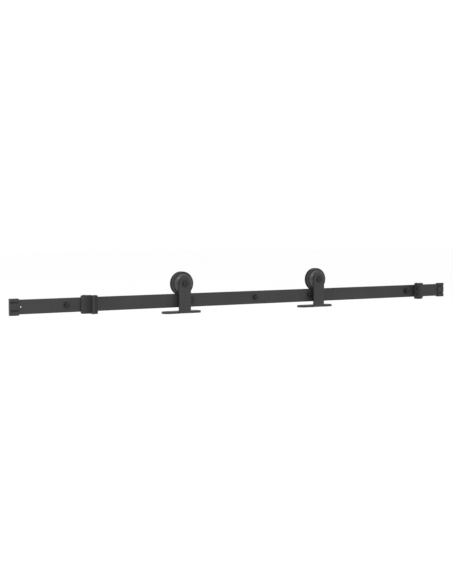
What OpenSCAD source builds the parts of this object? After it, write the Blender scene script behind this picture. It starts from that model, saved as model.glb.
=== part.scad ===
// Sliding barn door hardware: flat rail on wall spacers, two top-mount roller hangers and two stops.
// X runs along the rail, +Y points into the wall, +Z is up.
// The origin is at mid length of the rail, at its fixing line, on the wall plane.

/* [Rail] */
// Length of the flat bar
rail_len = 1524; // [1450:2:1640]
// Height of the flat bar
rail_h = 40; // [38:0.5:42]
// Thickness of the flat bar
rail_t = 6; // [5:0.5:7]
// Rounding along the long edges of the bar
rail_edge = 0.8; // [0.3:0.1:1.5]
// Distance of the outer fixing holes from mid length
outer_fix_x = 602; // [598:1:606]
// Distance of the inner fixing holes from mid length
inner_fix_x = 211; // [190:1:230]
// Offset of the middle fixing hole from mid length
middle_fix_x = 10; // [-10:1:12]
// Diameter of the fixing holes
fix_hole_d = 9; // [8.4:0.2:10]
// Diameter of the spare hole near each end
end_hole_d = 4.5; // [4:0.5:6]
// Distance of the spare holes from the bar ends
end_hole_inset = 29; // [28:0.5:34]

/* [Wall fixings] */
// Length of the wall spacers
spacer_len = 30; // [25:1:40]
// Outer diameter of the wall spacers
spacer_d = 25; // [22:1:30]
// Bore of the wall spacers
spacer_bore_d = 9; // [8.4:0.2:10]
// Length of the lag screws under the head
lag_len = 80; // [70:5:100]
// Width of the lag screw head across its flats
lag_af = 13; // [12:0.5:14]
// Thickness of the lag screw head
lag_head_h = 5.5; // [4.5:0.5:6.5]

/* [End caps] */
// Length of a cap along the rail
cap_len = 25; // [22:0.5:26]
// Wall of a cap
cap_wall = 3; // [2:0.5:4]
// Width of the finger grooves of a cap
cap_groove_w = 3.6; // [3:0.3:5.1]
// Depth of the finger grooves of a cap
cap_groove_depth = 2.2; // [0.6:0.2:2.4]
// Height of the finger grooves above and below their own middle
cap_groove_z = 11; // [8:0.5:12]

/* [Hangers] */
// Place of the left hanger along the rail
left_hanger_x = -243; // [-243:1:-120]
// Place of the right hanger along the rail
right_hanger_x = 233.5; // [120:0.5:240]
// Width of the strap
strap_w = 38; // [34:1:40]
// Thickness of the strap and of the plate under it
strap_t = 6; // [5:0.5:6.5]
// Distance from the middle of the rail to the inner face of the strap
strap_stand = 17; // [16.8:0.1:20]
// Length of the crosswise door plate
door_plate_len = 126; // [110:1:130]
// Depth of the crosswise door plate
door_plate_w = 35; // [30:1:38]
// Gap between the rail and the door plate
door_plate_gap = 11.6; // [10:0.2:16]
// Inside radius of the fold between strap and door plate
fold_r = 1.5; // [1:0.25:2.5]
// Spacing of the door screw holes along the rail
door_hole_dx = 96; // [84:1:98]
// Spacing of the door screw holes across the rail
door_hole_dy = 16; // [12:1:18]
// Diameter of the door screw holes
door_hole_d = 5.5; // [4.5:0.5:6]

/* [Wheels] */
// Outer diameter of the wheel flanges
wheel_d = 71; // [68:0.5:71.5]
// Diameter of the tread that rolls on the rail
tread_d = 58.6; // [58:0.1:62]
// Width of the wheel
wheel_w = 16; // [15:0.5:16.5]
// Width of the groove at the tread
groove_w = 7.6; // [7.4:0.2:8.6]
// Diameter of the domed hub cover
cover_d = 58.5; // [56:0.5:59]
// Height of the domed hub cover in front of the wheel
cover_h = 8.5; // [7:0.25:9]

/* [Stops] */
// Middle of the left stop along the rail
left_stop_x = -541.7; // [-570:0.1:-530]
// Middle of the right stop along the rail
right_stop_x = 651.2; // [640:0.1:690]
// Length of a stop along the rail
stop_len = 40; // [36:0.5:44]
// Height of a stop
stop_h = 52; // [51:0.5:56]
// Plate thickness of a stop
stop_t = 5; // [4:0.5:6]
// Reach of a stop in front of the middle of the rail
stop_reach = 31.5; // [30:0.5:36]
// Thickness of the rubber buffer
buffer_t = 10; // [8:0.5:12]

/* [Hidden] */

$fn = 64;

coat = "#454547";
fastener = "#303032";
plastic = "#3a3a3b";
rubber = "#2b2b2b";
steel = "#b4b6b8";
bronze = "#8f7440";

eps = 0.01;
fit = 0.02;
thread_gap = 0.05;
slide_gap = 0.15;

rail_y = -spacer_len - rail_t / 2;
fix_xs = [-outer_fix_x, -inner_fix_x, middle_fix_x, inner_fix_x, outer_fix_x];
end_hole_x = rail_len / 2 - end_hole_inset;
cap_h = rail_h + 2 * cap_wall;
cap_depth = rail_t + 2 * cap_wall;
cap_round = 1.2;
cap_groove_lift = 2;
cap_groove_slope = 3;

washer_t = 1.6;
lag_washer_d = 14;
lag_washer_bore_d = 8.4;
lag_thread_d = 8;
lag_shank_d = 7.2;
lag_tip = 6;
lag_point_d = 1;
chamfer_ratio = 0.95;

wheel_gap = 0.2;
wheel_z = rail_h / 2 + tread_d / 2 + wheel_gap;
axle_d = 10;
axle_af = 16;
axle_head_h = 4.8;
axle_tail = 2;
axle_washer_d = 16;
axle_washer_t = 2;
lock_nut_h = 10;
nut_collar_h = 3;
nut_collar_d = 14.4;
axle_spacer_d = 14;
strap_front = strap_stand + strap_t;
plate_top = -rail_h / 2 - door_plate_gap;
countersink_d = 10.4;
countersink_h = 2.6;

bearing_d = 30;
bearing_w = 9;
ball_ring_r = 10;
ball_r = 2.38;
ball_count = 8;
race_r = 2.55;
inner_shoulder_r = 8.4;
outer_shoulder_r = 11.6;
cage_t = 1.2;
cage_w = 6.2;
shield_t = 0.4;
shield_inset = 0.5;
shield_gap = 0.3;
circlip_t = 1.1;
circlip_depth = 1;
circlip_band = 2.4;
circlip_opening = 5;

rim_r = wheel_d / 2;
tread_r = tread_d / 2;
half_wheel = wheel_w / 2;
half_groove = groove_w / 2;
rim_face_in = 2.4;
rim_edge_in = 0.7;
rim_edge_depth = 0.8;
rim_crest_depth = 2;
rim_inner_in = 0.3;
rim_inner_depth = 3.5;
groove_round = 0.8;
groove_slope = 0.3;
tread_round = 0.5;
relief_outer_d = wheel_d - 13;
relief_inner_d = bearing_d + 10;
relief_depth = 1;
hub_hole_d = 24;
cover_seat_d = 60;
cover_seat_depth = 1;
cover_wall = 2;
cover_hole_d = 19;
cover_skirt = 1;
cover_shoulder = 16;

stop_fold_r = 1;
stop_corner = 4;
buffer_back = 9.5;
buffer_screw_y = -24;
buffer_screw_z = 9.5;
clamp_len = 20;
clamp_t = 4;
clamp_inset = 5;
clamp_h = stop_h - 1;
clamp_corner = 3;
clamp_x = stop_len - clamp_len / 2 - clamp_inset;
clamp_z = rail_h / 2 + 2.9;
tap_floor = 1;
screw_floor = 1.5;
screw_d = 4;
screw_head_d = 7;
screw_head_h = 2.6;
clearance_d = 4.3;
socket_af = 2.5;
socket_depth = 1.5;
counterbore_d = 7.6;
counterbore_depth = 4;

// Turns a body built along +Z so that it lies along +Y
module along_y() {
    rotate([-90, 0, 0]) children();
}

// Turns a body built along +Z so that it lies along +X
module along_x() {
    rotate([90, 0, 90]) children();
}

// Round rod along Y between two planes
module rod_y(d, y0, y1) {
    translate([0, y0, 0]) along_y() cylinder(d = d, h = y1 - y0);
}

// Flat outline with round corners, centred
module rounded_outline(w, h, r) {
    square([w - 2 * r, h], center = true);
    square([w, h - 2 * r], center = true);
    for (sx = [-1, 1], sy = [-1, 1])
        translate([sx * (w / 2 - r), sy * (h / 2 - r)]) circle(r = r);
}

// Hexagonal prism along +Z with its outer corners turned off
module hex_head(af, h) {
    intersection() {
        cylinder(d = af / cos(30), h = h, $fn = 6);
        cylinder(d1 = af / cos(30) + 2 * h, d2 = af * chamfer_ratio, h = h);
    }
}

// Flat ring along +Z
module ring(outer_d, inner_d, h) {
    difference() {
        cylinder(d = outer_d, h = h);
        translate([0, 0, -eps]) cylinder(d = inner_d, h = h + 2 * eps);
    }
}

// Small screw along +Z: shank from 0 to len, round head with a hexagon socket below 0
module socket_screw(len) {
    translate([0, 0, -eps]) cylinder(d = screw_d, h = len + eps);
    difference() {
        translate([0, 0, -screw_head_h]) cylinder(d = screw_head_d, h = screw_head_h);
        translate([0, 0, -screw_head_h - eps]) cylinder(d = socket_af / cos(30), h = socket_depth, $fn = 6);
    }
}

module rail() {
    color(coat) translate([0, rail_y, 0]) difference() {
        translate([-rail_len / 2, 0, 0]) along_x()
            linear_extrude(height = rail_len) rounded_outline(rail_t, rail_h, rail_edge);
        for (x = fix_xs)
            translate([x, 0, 0]) rod_y(fix_hole_d, -rail_t, rail_t);
        for (side = [-1, 1])
            translate([side * end_hole_x, 0, 0]) rod_y(end_hole_d, -rail_t, rail_t);
    }
}

// Section of a finger groove: square above, sloping below; x = 0 is the front of the cap
module cap_groove_outline() {
    polygon([
        [-1, cap_groove_w / 2],
        [cap_groove_depth, cap_groove_w / 2],
        [cap_groove_depth, -cap_groove_w / 2],
        [-1, -cap_groove_w / 2 - cap_groove_slope]
    ]);
}

// Grooved cap pushed over an end of the rail; side is -1 on the left and 1 on the right
module end_cap(side) {
    inner_x = rail_len / 2 + cap_wall - cap_len;
    color(plastic) translate([0, rail_y, 0]) scale([side, 1, 1]) difference() {
        translate([inner_x, 0, 0]) along_x()
            linear_extrude(height = cap_len) rounded_outline(cap_depth, cap_h, cap_round);
        translate([inner_x - eps, 0, 0]) along_x()
            linear_extrude(height = cap_len - cap_wall + eps)
                rounded_outline(rail_t + 2 * fit, rail_h + 2 * fit, rail_edge);
        for (sz = [-1, 1])
            translate([inner_x - 1, -cap_depth / 2, sz * cap_groove_z + cap_groove_lift]) along_x()
                linear_extrude(height = cap_len + 2) cap_groove_outline();
    }
}

module wall_spacer(x) {
    color(coat) translate([x, rail_y + rail_t / 2, 0]) along_y() ring(spacer_d, spacer_bore_d, spacer_len);
}

module wall_washers() {
    color(fastener) for (x = fix_xs)
        translate([x, rail_y - rail_t / 2 - washer_t, 0]) along_y()
            ring(lag_washer_d, lag_washer_bore_d, washer_t);
}

module wall_lag_screws() {
    seat_y = rail_y - rail_t / 2 - washer_t;
    color(fastener) for (x = fix_xs) translate([x, seat_y, 0]) {
        rotate([90, 30, 0]) hex_head(lag_af, lag_head_h);
        rod_y(lag_shank_d, -eps, -seat_y + eps);
        rod_y(lag_thread_d, -seat_y, lag_len - lag_tip);
        translate([0, lag_len - lag_tip, 0]) along_y()
            cylinder(d1 = lag_thread_d, d2 = lag_point_d, h = lag_tip);
    }
}

// Places a piece of a hanger: y = 0 is the middle of the rail
module at_hanger(x) {
    translate([x, rail_y, 0]) children();
}

// Places a piece of a hanger on its axle
module on_axle(x) {
    translate([x, rail_y, wheel_z]) children();
}

// Strap with a round top, folded back under the rail into a crosswise door plate
module hanger_strap() {
    fold_z = plate_top + fold_r;
    fold_y = -strap_stand + fold_r;
    color(coat) difference() {
        union() {
            translate([-strap_w / 2, -strap_front, fold_z]) cube([strap_w, strap_t, wheel_z - fold_z]);
            translate([0, 0, wheel_z]) rod_y(strap_w, -strap_front, -strap_stand);
            translate([-strap_w / 2, fold_y, fold_z]) along_x()
                linear_extrude(height = strap_w) intersection() {
                    difference() {
                        circle(r = fold_r + strap_t);
                        circle(r = fold_r);
                    }
                    translate([-strap_t - fold_r, -strap_t - fold_r]) square(strap_t + fold_r + eps);
                }
            translate([0, fold_y + door_plate_w / 2, plate_top - strap_t]) linear_extrude(height = strap_t)
                rounded_outline(door_plate_len, door_plate_w, door_plate_w / 2 - eps);
        }
        translate([0, 0, wheel_z]) rod_y(axle_d + 2 * thread_gap, -strap_front - 1, -strap_stand + 1);
        for (sx = [-1, 1], sy = [-1, 1])
            translate([sx * door_hole_dx / 2, fold_y + door_plate_w / 2 + sy * door_hole_dy / 2, plate_top]) {
                translate([0, 0, -strap_t - 1]) cylinder(d = door_hole_d, h = strap_t + 2);
                translate([0, 0, -countersink_h])
                    cylinder(d1 = door_hole_d, d2 = countersink_d, h = countersink_h + eps);
            }
    }
}

// Hexagon bolt through the strap, the spacer and the bearing
module axle_bolt() {
    tail = bearing_w / 2 + axle_washer_t + lock_nut_h + axle_tail;
    color(fastener) {
        translate([0, -strap_front, 0]) rotate([90, 30, 0]) hex_head(axle_af, axle_head_h);
        rod_y(axle_d, -strap_front - eps, tail);
    }
}

// Sleeve that keeps the bearing clear of the strap
module axle_spacer() {
    color(steel) translate([0, -strap_stand, 0]) along_y()
        ring(axle_spacer_d, axle_d + 2 * thread_gap, strap_stand - bearing_w / 2);
}

module axle_washer() {
    color(fastener) translate([0, bearing_w / 2, 0]) along_y()
        ring(axle_washer_d, axle_d + 4 * thread_gap, axle_washer_t);
}

// Lock nut: hexagon with a round collar at its outer end
module lock_nut() {
    color(fastener) translate([0, bearing_w / 2 + axle_washer_t, 0]) along_y() difference() {
        union() {
            hex_head(axle_af, lock_nut_h - nut_collar_h);
            cylinder(d = nut_collar_d, h = lock_nut_h);
        }
        translate([0, 0, -1]) cylinder(d = axle_d + 2 * thread_gap, h = lock_nut_h + 2);
    }
}

// Round-bottomed track of a bearing race, about +Z
module race_track() {
    rotate_extrude() translate([ball_ring_r, 0]) circle(r = race_r);
}

module bearing_inner_ring() {
    color(steel) along_y() difference() {
        translate([0, 0, -bearing_w / 2]) ring(2 * inner_shoulder_r, axle_d + 2 * fit, bearing_w);
        race_track();
    }
}

module bearing_outer_ring() {
    color(steel) along_y() difference() {
        translate([0, 0, -bearing_w / 2]) ring(bearing_d, 2 * outer_shoulder_r, bearing_w);
        race_track();
    }
}

// Places a child at each ball of the bearing
module at_balls() {
    for (i = [0 : ball_count - 1])
        rotate([0, i * 360 / ball_count, 0]) translate([ball_ring_r, 0, 0]) children();
}

module bearing_balls() {
    color(steel) at_balls() sphere(r = ball_r);
}

module bearing_cage() {
    color(bronze) difference() {
        translate([0, -cage_w / 2, 0]) along_y()
            ring(2 * ball_ring_r + cage_t, 2 * ball_ring_r - cage_t, cage_w);
        at_balls() translate([-race_r, 0, 0]) along_x() cylinder(r = race_r, h = 2 * race_r);
    }
}

module bearing_shields() {
    color(steel) for (side = [-1, 1])
        translate([0, side * (bearing_w / 2 - shield_inset) - shield_t / 2, 0]) along_y()
            ring(2 * outer_shoulder_r - 2 * fit, 2 * (inner_shoulder_r + shield_gap), shield_t);
}

// Open spring ring that keeps the bearing in the wheel
module circlip() {
    outer_d = bearing_d + 2 * circlip_depth - 4 * fit;
    color(fastener) translate([0, bearing_w / 2 + thread_gap, 0]) along_y() difference() {
        ring(outer_d, bearing_d - 2 * circlip_band, circlip_t);
        translate([-circlip_opening / 2, 0, -1]) cube([circlip_opening, outer_d, circlip_t + 2]);
    }
}

// Half outline of the wheel's section on one side of the tread, from the bore out and down to the groove
function flange(side) = [
    [hub_hole_d / 2, side * half_wheel],
    [rim_r - rim_face_in, side * half_wheel],
    [rim_r - rim_edge_in, side * (half_wheel - rim_edge_depth)],
    [rim_r, side * (half_wheel - rim_crest_depth)],
    [rim_r - rim_inner_in, side * (half_wheel - rim_inner_depth)],
    [tread_r + groove_round, side * (half_groove + groove_slope)],
    [tread_r, side * (half_groove - tread_round)]
];

// The same list the other way round
function backwards(points) = [for (i = [len(points) - 1 : -1 : 0]) points[i]];

// Grooved wheel: bearing pocket from the back, a seat for the hub cover in front
module wheel() {
    color(plastic) along_y() difference() {
        rotate_extrude() polygon(concat(flange(-1), backwards(flange(1))));
        translate([0, 0, -half_wheel - 1]) cylinder(d = cover_seat_d, h = cover_seat_depth + 1);
        translate([0, 0, -bearing_w / 2]) cylinder(d = bearing_d + 2 * fit, h = wheel_w);
        translate([0, 0, bearing_w / 2])
            cylinder(d = bearing_d + 2 * circlip_depth, h = circlip_t + 2 * thread_gap);
        translate([0, 0, half_wheel - relief_depth]) ring(relief_outer_d, relief_inner_d, 2 * relief_depth);
    }
}

// Quarter ellipse of the cover's dome; inset is 0 outside and the wall inside
function dome_arc(inset, base_y, front_y) = [
    for (a = [0 : 10 : 90]) [
        cover_d / 2 - cover_shoulder + (cover_shoulder - inset) * cos(a),
        base_y - cover_skirt - (base_y - cover_skirt - front_y - inset) * sin(a)
    ]
];

// Domed cover over the bearing, turned with the wheel
module hub_cover() {
    base_y = -half_wheel + cover_seat_depth;
    front_y = -half_wheel - cover_h;
    hole_r = cover_hole_d / 2;
    color(plastic) along_y() rotate_extrude() polygon(concat(
        [[cover_d / 2, base_y]],
        dome_arc(0, base_y, front_y),
        [[hole_r, front_y], [hole_r, front_y + cover_wall]],
        backwards(dome_arc(cover_wall, base_y, front_y)),
        [[cover_d / 2 - cover_wall, base_y]]
    ));
}

// Places a piece of a stop: x = 0 is the rubber face, and +x leads away from the door
module at_stop(x, side) {
    translate([x - side * stop_len / 2, rail_y, 0]) mirror([side < 0 ? 1 : 0, 0, 0]) children();
}

// Folded angle: a foot on the front of the rail and an upright that carries the rubber
module stop_bracket() {
    foot_y = -rail_t / 2 - slide_gap;
    outer_r = stop_fold_r + stop_t;
    color(coat) difference() {
        intersection() {
            translate([0, 0, -stop_h / 2]) linear_extrude(height = stop_h) {
                translate([buffer_t + outer_r, foot_y - stop_t])
                    square([stop_len - buffer_t - outer_r, stop_t]);
                translate([buffer_t, -stop_reach])
                    square([stop_t, stop_reach + foot_y - outer_r]);
                translate([buffer_t + outer_r, foot_y - outer_r]) intersection() {
                    difference() {
                        circle(r = outer_r);
                        circle(r = stop_fold_r);
                    }
                    translate([-outer_r, -eps]) square([outer_r + eps, outer_r + eps]);
                }
            }
            rotate([90, 0, 0]) translate([0, 0, -rail_t]) linear_extrude(height = stop_reach + 2 * rail_t)
                rounded_outline(2 * stop_len, stop_h, stop_corner);
        }
        for (sz = [-1, 1]) {
            translate([clamp_x, 0, sz * clamp_z])
                rod_y(screw_d + 2 * thread_gap, foot_y - stop_t + tap_floor, foot_y + 1);
            translate([buffer_t - 1, buffer_screw_y, sz * buffer_screw_z]) along_x()
                cylinder(d = screw_d + 2 * thread_gap, h = stop_t + 2);
        }
    }
}

module stop_clamp_plate() {
    face_y = rail_t / 2 + slide_gap;
    color(coat) difference() {
        translate([clamp_x, face_y + clamp_t, 0]) rotate([90, 0, 0])
            linear_extrude(height = clamp_t) rounded_outline(clamp_len, clamp_h, clamp_corner);
        for (sz = [-1, 1])
            translate([clamp_x, 0, sz * clamp_z]) rod_y(clearance_d, face_y - 1, face_y + clamp_t + 1);
    }
}

module stop_clamp_screws() {
    head_y = rail_t / 2 + slide_gap + clamp_t;
    screw_len = head_y + rail_t / 2 + slide_gap + stop_t - screw_floor;
    color(fastener) for (sz = [-1, 1])
        translate([clamp_x, head_y, sz * clamp_z]) rotate([90, 0, 0]) socket_screw(screw_len);
}

module stop_buffer() {
    width = stop_reach - buffer_back;
    color(rubber) difference() {
        translate([0, -stop_reach + width / 2, 0]) along_x()
            linear_extrude(height = buffer_t) rounded_outline(width, stop_h, stop_corner);
        for (sz = [-1, 1]) translate([-1, buffer_screw_y, sz * buffer_screw_z]) along_x() {
            cylinder(d = clearance_d, h = buffer_t + 2);
            cylinder(d = counterbore_d, h = counterbore_depth + 1);
        }
    }
}

module stop_buffer_screws() {
    color(fastener) for (sz = [-1, 1])
        translate([counterbore_depth, buffer_screw_y, sz * buffer_screw_z]) along_x()
            socket_screw(buffer_t - counterbore_depth + stop_t);
}

rail();
end_cap(-1);  // end_cap_left
end_cap(1);  // end_cap_right
wall_spacer(fix_xs[0]);  // wall_spacer_1
wall_spacer(fix_xs[1]);  // wall_spacer_2
wall_spacer(fix_xs[2]);  // wall_spacer_3
wall_spacer(fix_xs[3]);  // wall_spacer_4
wall_spacer(fix_xs[4]);  // wall_spacer_5
wall_lag_screws();
wall_washers();

at_hanger(left_hanger_x) hanger_strap();  // left_hanger_strap
on_axle(left_hanger_x) axle_bolt();  // left_axle_bolt
on_axle(left_hanger_x) axle_spacer();  // left_axle_spacer
on_axle(left_hanger_x) axle_washer();  // left_axle_washer
on_axle(left_hanger_x) lock_nut();  // left_lock_nut
on_axle(left_hanger_x) bearing_inner_ring();  // left_bearing_inner_ring
on_axle(left_hanger_x) bearing_balls();  // left_bearing_balls
on_axle(left_hanger_x) bearing_cage();  // left_bearing_cage
on_axle(left_hanger_x) bearing_outer_ring();  // left_bearing_outer_ring
on_axle(left_hanger_x) bearing_shields();  // left_bearing_shields
on_axle(left_hanger_x) circlip();  // left_circlip
on_axle(left_hanger_x) wheel();  // left_wheel
on_axle(left_hanger_x) hub_cover();  // left_hub_cover

at_hanger(right_hanger_x) hanger_strap();  // right_hanger_strap
on_axle(right_hanger_x) axle_bolt();  // right_axle_bolt
on_axle(right_hanger_x) axle_spacer();  // right_axle_spacer
on_axle(right_hanger_x) axle_washer();  // right_axle_washer
on_axle(right_hanger_x) lock_nut();  // right_lock_nut
on_axle(right_hanger_x) bearing_inner_ring();  // right_bearing_inner_ring
on_axle(right_hanger_x) bearing_balls();  // right_bearing_balls
on_axle(right_hanger_x) bearing_cage();  // right_bearing_cage
on_axle(right_hanger_x) bearing_outer_ring();  // right_bearing_outer_ring
on_axle(right_hanger_x) bearing_shields();  // right_bearing_shields
on_axle(right_hanger_x) circlip();  // right_circlip
on_axle(right_hanger_x) wheel();  // right_wheel
on_axle(right_hanger_x) hub_cover();  // right_hub_cover

at_stop(left_stop_x, -1) stop_bracket();  // left_stop_bracket
at_stop(left_stop_x, -1) stop_clamp_plate();  // left_stop_clamp_plate
at_stop(left_stop_x, -1) stop_clamp_screws();  // left_stop_clamp_screws
at_stop(left_stop_x, -1) stop_buffer();  // left_stop_buffer
at_stop(left_stop_x, -1) stop_buffer_screws();  // left_stop_buffer_screws

at_stop(right_stop_x, 1) stop_bracket();  // right_stop_bracket
at_stop(right_stop_x, 1) stop_clamp_plate();  // right_stop_clamp_plate
at_stop(right_stop_x, 1) stop_clamp_screws();  // right_stop_clamp_screws
at_stop(right_stop_x, 1) stop_buffer();  // right_stop_buffer
at_stop(right_stop_x, 1) stop_buffer_screws();  // right_stop_buffer_screws
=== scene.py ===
import math
import bmesh
import bpy
from mathutils import Matrix, Vector


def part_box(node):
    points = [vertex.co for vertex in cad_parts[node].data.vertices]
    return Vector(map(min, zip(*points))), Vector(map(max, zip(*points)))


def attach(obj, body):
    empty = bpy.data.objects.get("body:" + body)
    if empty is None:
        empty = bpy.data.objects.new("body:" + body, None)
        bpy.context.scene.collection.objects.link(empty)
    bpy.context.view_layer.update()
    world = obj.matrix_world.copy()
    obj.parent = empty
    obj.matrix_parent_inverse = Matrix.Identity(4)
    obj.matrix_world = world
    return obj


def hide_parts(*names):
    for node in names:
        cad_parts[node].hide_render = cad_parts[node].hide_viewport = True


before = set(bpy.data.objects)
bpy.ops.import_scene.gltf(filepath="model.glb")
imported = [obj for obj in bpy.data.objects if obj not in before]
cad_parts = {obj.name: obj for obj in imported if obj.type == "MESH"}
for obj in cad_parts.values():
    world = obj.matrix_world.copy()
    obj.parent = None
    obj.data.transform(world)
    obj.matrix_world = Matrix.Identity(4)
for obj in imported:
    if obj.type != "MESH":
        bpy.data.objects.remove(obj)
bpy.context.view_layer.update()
mm = 0.001
fullTurn = 2 * math.pi
hair = 0.0001 * mm  # a point this near to a cutting plane lies on it
sharpAngle = math.radians(30)  # edges that turn more than this stay crisp, or get a bevel


class Field:
    # a number that varies over a surface; arithmetic on it adds Math nodes
    def __init__(self, paint, socket):
        self.paint = paint
        self.socket = socket

    def math(self, operation, first, second=None):
        values = {0: first} if second is None else {0: first, 1: second}
        node = self.paint.node("ShaderNodeMath", {"operation": operation}, values)
        return Field(self.paint, node.outputs[0])

    def __add__(self, other):
        return self.math("ADD", self, other)

    def __sub__(self, other):
        return self.math("SUBTRACT", self, other)

    def __rsub__(self, other):
        return self.math("SUBTRACT", other, self)

    def __mul__(self, other):
        return self.math("MULTIPLY", self, other)

    def __pow__(self, other):
        return self.math("POWER", self, other)

    def sine(self):
        return self.math("SINE", self)

    def size(self):
        return self.math("ABSOLUTE", self)

    def step(self, low, high):
        # 0 below low, 1 above high, smooth between
        settings = {"interpolation_type": "SMOOTHSTEP"}
        ramp = self.paint.node("ShaderNodeMapRange", settings, {0: self, 1: low, 2: high, 3: 0.0, 4: 1.0})
        return Field(self.paint, ramp.outputs[0])

    __radd__ = __add__
    __rmul__ = __mul__


class Paint:
    # one material; its patterns are in metres from the centre that it is given
    def __init__(self, name, slot, centre=(0, 0, 0)):
        self.slot = slot
        self.material = bpy.data.materials.new(name)
        self.material.use_nodes = True
        self.nodes = self.material.node_tree.nodes
        self.links = self.material.node_tree.links
        self.nodes.clear()
        self.place = self.node("ShaderNodeMapping", {}, {
            "Vector": self.node("ShaderNodeTexCoord").outputs["Object"],
            "Location": [-c for c in centre]}).outputs[0]
        split = self.node("ShaderNodeSeparateXYZ", {}, {0: self.place})
        self.x, self.y, self.z = [Field(self, out) for out in split.outputs]

    def node(self, kind, settings={}, inputs={}):
        made = self.nodes.new(kind)
        for key, value in settings.items():
            setattr(made, key, value)
        for key, value in inputs.items():
            value = value.socket if isinstance(value, Field) else value
            if isinstance(value, bpy.types.NodeSocket):
                self.links.new(value, made.inputs[key])
            else:
                made.inputs[key].default_value = value
        return made

    def stretched(self, factors):
        # small factors draw a pattern out along their axes
        scaled = self.node("ShaderNodeVectorMath", {"operation": "MULTIPLY"}, {0: self.place, 1: factors})
        return scaled.outputs[0]

    def noise(self, size, detail=2.0, rough=0.5, where=None):
        # size is the width of the pattern's features in metres
        values = {"Vector": where or self.place, "Scale": 1 / size, "Detail": detail, "Roughness": rough}
        return Field(self, self.node("ShaderNodeTexNoise", {}, values).outputs["Fac"])

    def cells(self, size):
        values = {"Vector": self.place, "Scale": 1 / size}
        return Field(self, self.node("ShaderNodeTexVoronoi", {"feature": "F1"}, values).outputs["Distance"])

    def facing(self, axis):
        # how far the surface faces along an axis, from -1 to 1
        normal = self.node("ShaderNodeNewGeometry").outputs["Normal"]
        split = self.node("ShaderNodeSeparateXYZ", {}, {0: normal})
        return Field(self, split.outputs[axis])

    def radius(self):
        # distance from an axis along Y through the pattern's centre
        return (self.x * self.x + self.z * self.z) ** 0.5

    def rings(self, spacing, wander):
        # fine lines round that axis, which wander off their circles
        return (self.radius() * (math.pi / spacing) + wander).sine() * 0.5 + 0.5

    def blend(self, amount, first, second):
        mix = self.node("ShaderNodeMix", {"data_type": "RGBA"}, {0: amount, 6: first, 7: second})
        return mix.outputs[2]

    def relief(self, height, depth, strength=1.0):
        return self.node("ShaderNodeBump", {}, {
            "Height": height, "Distance": depth, "Strength": strength}).outputs[0]

    def done(self, color, roughness, normal, **constants):
        shader = self.node("ShaderNodeBsdfPrincipled", {}, {
            "Base Color": color, "Roughness": roughness, "Normal": normal})
        for key, value in constants.items():
            shader.inputs[key.replace("_", " ")].default_value = value
        self.node("ShaderNodeOutputMaterial", {}, {"Surface": shader.outputs[0]})
        return self


def grey(level, warmth=0.0):
    return (level * (1 + warmth), level, level * (1 - warmth), 1.0)


# finishes: in each, look holds the tones, the sizes of its patterns, its gloss and its relief

def powderCoat():
    look = {"dark": 0.017, "light": 0.022, "dust": 0.050, "cool": -0.01, "peel": 1.1 * mm, "grain": 0.22 * mm,
            "clouds": 60 * mm, "dustPatches": 9 * mm, "roughness": 0.50, "depth": 0.05 * mm}
    p = Paint("powder coat", "coated_steel")
    peel = p.noise(look["peel"], 2.0, 0.55)
    grain = p.noise(look["grain"], 1.0)
    cloud = p.noise(look["clouds"], 3.0)
    mottle = (peel * 0.35 + cloud * 0.65).step(0.3, 0.7)
    tone = p.blend(mottle, grey(look["dark"], look["cool"]), grey(look["light"], look["cool"]))
    speck = grain.step(0.66, 0.74) * 0.25
    tone = p.blend(speck, tone, grey(look["dust"]))
    patches = p.noise(look["dustPatches"], 4.0, 0.6).step(0.45, 0.75)
    dust = p.facing(2).step(0.75, 1.0) * patches * 0.35  # on what faces up
    tone = p.blend(dust, tone, grey(look["dust"]))
    rough = look["roughness"] + (cloud - 0.5) * 0.16 + (grain - 0.5) * 0.10 + dust * 0.2
    relief = p.relief(peel * 0.7 + grain * 0.3, look["depth"], 0.55)
    return p.done(tone, rough, relief, Specular_IOR_Level=0.30)


def blackOxide():
    look = {"dark": 0.023, "light": 0.032, "bare": 0.060, "mottle": 2.2 * mm, "scratch": 0.5 * mm,
            "roughness": 0.42, "depth": 0.03 * mm}
    p = Paint("black oxide", "black_fastener")
    mottle = p.noise(look["mottle"], 4.0, 0.6)
    scratch = p.noise(look["scratch"], 3.0, 0.6, p.stretched((1.0, 6.0, 0.22)))
    tone = p.blend(mottle.step(0.35, 0.7), grey(look["dark"]), grey(look["light"], 0.02))
    tone = p.blend(scratch.step(0.68, 0.8) * 0.5, tone, grey(look["bare"]))
    rough = look["roughness"] + (mottle - 0.5) * 0.24
    return p.done(tone, rough, p.relief(mottle * 0.6 + scratch * 0.4, look["depth"], 0.6), Metallic=0.85)


def mouldedNylon(name, centre):
    # flow lines round the axle, from a turned mould, and a groove that the rail scuffs
    look = {"dark": 0.017, "light": 0.023, "scuff": 0.040, "wobble": 14 * mm, "lines": 0.45 * mm,
            "grain": 0.3 * mm, "scuffs": 1.5 * mm, "grooveR": 31.0 * mm, "grooveHalf": 4.6 * mm,
            "roughness": 0.36, "depth": 0.03 * mm}
    p = Paint(name, "wheel_nylon", centre)
    wobble = p.noise(look["wobble"], 2.0)
    rings = p.rings(look["lines"], wobble * (1.5 * math.pi))
    grain = p.noise(look["grain"], 2.0)
    tone = p.blend(rings * 0.3 + wobble * 0.7, grey(look["dark"]), grey(look["light"]))
    within = (look["grooveR"] - p.radius()).step(0.0, 0.6 * mm)
    tread = within * (look["grooveHalf"] - p.y.size()).step(0.0, 0.5 * mm)
    tone = p.blend(tread * p.noise(look["scuffs"], 4.0).step(0.4, 0.7) * 0.7, tone, grey(look["scuff"]))
    rough = look["roughness"] + (grain - 0.5) * 0.12 + tread * 0.18
    relief = p.relief(rings * 0.35 + grain * 0.65, look["depth"], 0.5)
    return p.done(tone, rough, relief, Specular_IOR_Level=0.28)


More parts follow.
